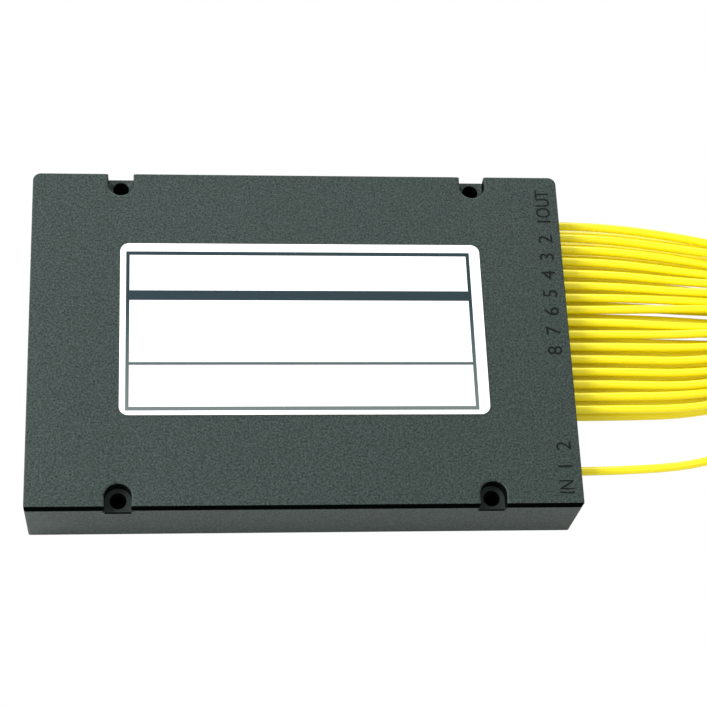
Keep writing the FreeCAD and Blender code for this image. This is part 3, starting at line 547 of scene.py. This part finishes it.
def add_front_line(material, colour):
    """Painted shade: a nearly black band without shine along the top of the front wall, which
    steps down under each notch.
    """
    tree, shader = material.node_tree, shader_of(material)
    place = add_node(tree, "ShaderNodeTexCoord").outputs["Object"]
    x, y, z = add_node(tree, "ShaderNodeSeparateXYZ", inputs={"Vector": place}).outputs
    from_notch = reckon(tree, "SUBTRACT", reckon(tree, "ABSOLUTE", x), NOTCH_X)
    in_notch = reckon(tree, "LESS_THAN", reckon(tree, "ABSOLUTE", from_notch), NOTCH_HALF_WIDTH)
    step = reckon(tree, "MULTIPLY", in_notch, NOTCH_DEPTH + NOTCH_LINE_HEIGHT - LINE_HEIGHT)
    foot = reckon(tree, "SUBTRACT", BOX_TOP - LINE_HEIGHT, step)
    in_front = reckon(tree, "LESS_THAN", y, SHELL_LOW[1] + CRISP_RIM_RADIUS)
    line = reckon(tree, "MULTIPLY", in_front, reckon(tree, "GREATER_THAN", z, foot))
    plain = shader.inputs["Base Color"].links[0].from_socket
    colours = add_node(tree, "ShaderNodeMix", {"data_type": "RGBA"})
    tree.links.new(line, colours.inputs["Factor"])
    tree.links.new(plain, colours.inputs["A"])
    colours.inputs["B"].default_value = linear(colour)
    tree.links.new(colours.outputs["Result"], shader.inputs["Base Color"])
    shine = reckon(tree, "MULTIPLY", reckon(tree, "SUBTRACT", 1.0, line), PLASTIC_SHINE)
    tree.links.new(shine, shader.inputs["Specular IOR Level"])


def fading_ink(name, front, back):
    """Thermal print that is grey at the front of the label and nearly black at the back."""
    material = finish_of(name, back, roughness=0.5, Specular_IOR_Level=0.2)
    tree, shader = material.node_tree, shader_of(material)
    place = add_node(tree, "ShaderNodeTexCoord").outputs["Object"]
    depth = add_node(tree, "ShaderNodeSeparateXYZ", inputs={"Vector": place}).outputs["Y"]
    share = add_node(tree, "ShaderNodeMapRange", inputs={
        "Value": depth, "From Min": FRAME_LINES_Y[1], "From Max": FRAME_LINES_Y[4]})
    shades = add_node(tree, "ShaderNodeValToRGB", inputs={"Fac": share.outputs["Result"]})
    shades.color_ramp.elements[0].color = linear(front)
    shades.color_ramp.elements[1].color = linear(back)
    tree.links.new(shades.outputs["Color"], shader.inputs["Base Color"])
    return material


# ABS, injection moulded in a spark-eroded tool: dark grey-green with a fine satin grain.
ABS_GREY = textured_plastic("abs_spark_textured_grey", "#2c3936", "#16221f", "#404d4a",
                            grain=0.00042, depth=0.00008, roughness=0.55)
# Painted shade along the top of the front wall, in place of the edge's own shading.
add_front_line(ABS_GREY, "#040706")
# Zinc-plated steel plate: a bright, slightly blue grey with a soft shine.
ZINC_STEEL = finish_of("zinc_plated_steel", "#b9bcc0", roughness=0.38, metallic=1.0)
# Polypropylene film label: bright white and half matt.
WHITE_FILM = finish_of("white_polypropylene_film", "#fdfdfd", roughness=0.42)
# Epoxy potting block: dull black.
POTTING = finish_of("black_epoxy_potting", "#1c1d1f", roughness=0.55)
# Stainless steel tube with a brushed skin.
STAINLESS = finish_of("brushed_stainless_steel", "#c8c8c6", roughness=0.3, metallic=1.0)
# Silica glass chip and fibre blocks.
SILICA = finish_of("polished_silica_glass", "#e8f0f0", roughness=0.05, ior=1.46,
                   Transmission_Weight=0.85)
# Nitrile rubber end boots: matt black.
RUBBER = finish_of("black_nitrile_rubber", "#161616", roughness=0.8)
# Coloured fibre buffer: smooth acrylate.
BUFFER = finish_of("clear_acrylate_fibre_buffer", "#e9e3cc", roughness=0.35)
# LSZH cord jacket: bright yellow with a soft waxy gloss.
JACKET = finish_of("yellow_lszh_jacket", "#fdec0a", roughness=0.3)
# Soft moulded boot: white thermoplastic elastomer.
BOOT_WHITE = finish_of("white_elastomer_boot", "#eeeeea", roughness=0.5)
# PBT connector housing: blue, smooth and half glossy.
PBT_BLUE = finish_of("blue_pbt_connector", "#1f66b8", roughness=0.35)
# Zirconia ferrule: polished white ceramic.
ZIRCONIA = finish_of("polished_zirconia", "#f4f2ee", roughness=0.12, ior=2.1)
# Polyethylene dust cap: milky and half see-through.
CAP_POLYETHYLENE = finish_of("translucent_polyethylene_cap", "#e6ecee", roughness=0.35,
                             ior=1.51, Transmission_Weight=0.35)
# Nylon hook-and-loop tape: black, with a dull nap.
HOOK_AND_LOOP = textured_plastic("black_nylon_hook_and_loop", "#1a1a1c", "#101012", "#2a2a2d",
                                 grain=0.00042, depth=0.0002, roughness=0.9)
# Black ink on the label.
INK = fading_ink("black_label_ink", "#65706f", "#22343a")
# The same ABS, almost black on the moulded marks: painted shade, where the raised strokes look
# dark.
ABS_PAINTED_MARK_SHADE = finish_of("abs_painted_mark_shade", "#0a100f", roughness=0.6,
                         Specular_IOR_Level=0.15)
# The same ABS, darker and duller, as painted shade on the floors of the two front notches.
ABS_PAINTED_FLOOR_SHADE = finish_of("abs_painted_notch_floor_shade", "#252d2b", roughness=0.7, Specular_IOR_Level=0.15)
# The same ABS with painted shade on the walls of the screw notches, which see little light:
# nearly black.
ABS_PAINTED_WALL_SHADE = finish_of("abs_painted_notch_wall_shade", "#040706", roughness=0.9, Specular_IOR_Level=0.05)

NODE_FINISHES = {
    "housing_shell": ABS_GREY, "base_plate": ZINC_STEEL, "base_screws": ZINC_STEEL,
    "label": WHITE_FILM, "cord_anchor": POTTING, "splitter_case": STAINLESS,
    "waveguide_chip": SILICA, "input_fibre_block": SILICA, "output_fibre_block": SILICA,
    "input_end_boot": RUBBER, "output_end_boot": RUBBER, "input_fibre": BUFFER,
    "fibre_ribbons": BUFFER, "harness_coil": JACKET, "lc_boots": BOOT_WHITE,
    "lc_housings": PBT_BLUE, "lc_ferrules": ZIRCONIA, "lc_dust_caps": CAP_POLYETHYLENE,
    "sc_boot": BOOT_WHITE, "sc_frame": PBT_BLUE, "sc_grip": PBT_BLUE,
    "sc_ferrule": ZIRCONIA, "sc_dust_cap": CAP_POLYETHYLENE}


def paint_nodes():
    """The nodes that aren't in the list are the cords."""
    for name, node in NODES.items():
        paint(node, NODE_FINISHES.get(name, JACKET))


def crisp_place(place):
    """Where a point of the shell goes when its outer edges are rounded less."""
    side = Vector((math.copysign(1, place.x), math.copysign(1, place.y)))
    away = Vector((SHELL_HIGH[0] - abs(place.x), SHELL_HIGH[1] - abs(place.y)))
    down = BOX_TOP - place.z
    on_corner = max(away) <= CORNER_RADIUS + SAME_PLACE
    inward = Vector((CORNER_RADIUS, CORNER_RADIUS)) - away
    depth = CORNER_RADIUS - inward.length if on_corner else min(away)
    share = 1.0
    if -SAME_PLACE < depth < RIM_RADIUS + SAME_PLACE and down < RIM_RADIUS + SAME_PLACE:
        share = CRISP_RIM_RADIUS / RIM_RADIUS
    if on_corner:
        radius = FRONT_CORNER_RADIUS if place.y < 0 else CORNER_RADIUS
        out = inward.normalized() * (radius - depth * share)
        away = Vector((radius, radius)) - out
    elif away.x < away.y:
        away.x *= share
    else:
        away.y *= share
    return Vector((side.x * (SHELL_HIGH[0] - away.x), side.y * (SHELL_HIGH[1] - away.y),
                   BOX_TOP - down * share))


def crisp_housing(shell):
    """A copy of the shell with crisp edges, and painted shade on the insides of its screw
    notches.
    """
    start_piece()
    shell.select_set(True)
    bpy.context.view_layer.objects.active = shell
    bpy.ops.object.duplicate()
    housing = bpy.context.object
    bpy.ops.object.mode_set(mode="EDIT")
    bpy.ops.mesh.select_all(action="SELECT")
    bpy.ops.mesh.remove_doubles(threshold=SAME_PLACE)
    bpy.ops.object.mode_set(mode="OBJECT")
    for vertex in housing.data.vertices:
        vertex.co = crisp_place(vertex.co)
    end_piece("crisp_housing", ABS_GREY)
    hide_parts("housing_shell")
    housing.data.materials.append(ABS_PAINTED_WALL_SHADE)
    housing.data.materials.append(ABS_PAINTED_FLOOR_SHADE)
    # Painted shade: the notch walls take the nearly black ABS, and the floors of the two front
    # notches take the darker one.
    for face in housing.data.polygons:
        x, y, z = face.center
        if abs(abs(x) - NOTCH_X) >= NOTCH_MOUTH or abs(y) <= NOTCH_REACH:
            continue
        on_outer_wall = abs(y) >= SHELL_HIGH[1] - NOTCH_MARGIN
        at_floor_level = abs(BOX_TOP - z - NOTCH_DEPTH) < NOTCH_FLOOR_BAND
        if abs(face.normal.z) < UPRIGHT and not on_outer_wall:
            face.material_index = 1
        elif y < 0 and face.normal.z > FACES_ALONG and at_floor_level:
            face.material_index = 2
    bpy.ops.object.shade_smooth_by_angle(angle=SMOOTH_UNDER)


# ---------------------------------------------------------------- floor and light

FLOOR_SIZE = 8
WORLD_STRENGTH = 0.55
LAMPS_AIM = Vector((0.05, -0.03, 0))
# Square lamps: name, place, side in metres, power in watts.
LAMPS = (("key", (-0.55, 0.05, 0.5), 0.4, 6.0),
         ("fill", (0.6, -0.3, 0.9), 0.7, 2.0),
         ("back", (0.1, 0.8, 0.35), 0.5, 4.0))


def lay_floor():
    """White paper, which the camera sees evenly lit to its far edge."""
    floor_colour = finish_of("white_paper_floor", "#f4f4f4", roughness=0.9)
    tree, shader = floor_colour.node_tree, shader_of(floor_colour)
    seen = add_node(tree, "ShaderNodeLightPath").outputs["Is Camera Ray"]
    glow = add_node(tree, "ShaderNodeEmission", inputs={"Strength": 1.0})
    either = add_node(tree, "ShaderNodeMixShader", inputs={"Fac": seen})
    tree.links.new(shader.outputs["BSDF"], either.inputs[1])
    tree.links.new(glow.outputs["Emission"], either.inputs[2])
    tree.links.new(either.outputs["Shader"], tree.nodes["Material Output"].inputs["Surface"])
    start_piece()
    bpy.ops.mesh.primitive_plane_add(size=FLOOR_SIZE)
    floor = bpy.context.object
    floor.name = "floor"
    paint(floor, floor_colour)


def light_up():
    scene = bpy.context.scene
    scene.view_settings.view_transform = "Standard"
    scene.world = bpy.data.worlds.new("studio")
    scene.world.use_nodes = True
    sky = scene.world.node_tree.nodes["Background"]
    sky.inputs["Color"].default_value = (1, 1, 1, 1)
    sky.inputs["Strength"].default_value = WORLD_STRENGTH
    for name, place, side, power in LAMPS:
        data = bpy.data.lights.new(name, "AREA")
        data.size = side
        data.energy = power
        lamp = bpy.data.objects.new(name, data)
        scene.collection.objects.link(lamp)
        lamp.location = place
        lamp.rotation_euler = (LAMPS_AIM - lamp.location).to_track_quat("-Z", "Y").to_euler()


# ---------------------------------------------------------------- the scene

place_camera()
lay_cords(JACKET)
print_label(INK)
# The marks' almost black colour is painted shade.
mould_marks(ABS_PAINTED_MARK_SHADE)
for tie in TIES:
    add_strap(*tie, HOOK_AND_LOOP)
paint_nodes()
crisp_housing(NODES["housing_shell"])
lay_floor()
light_up()
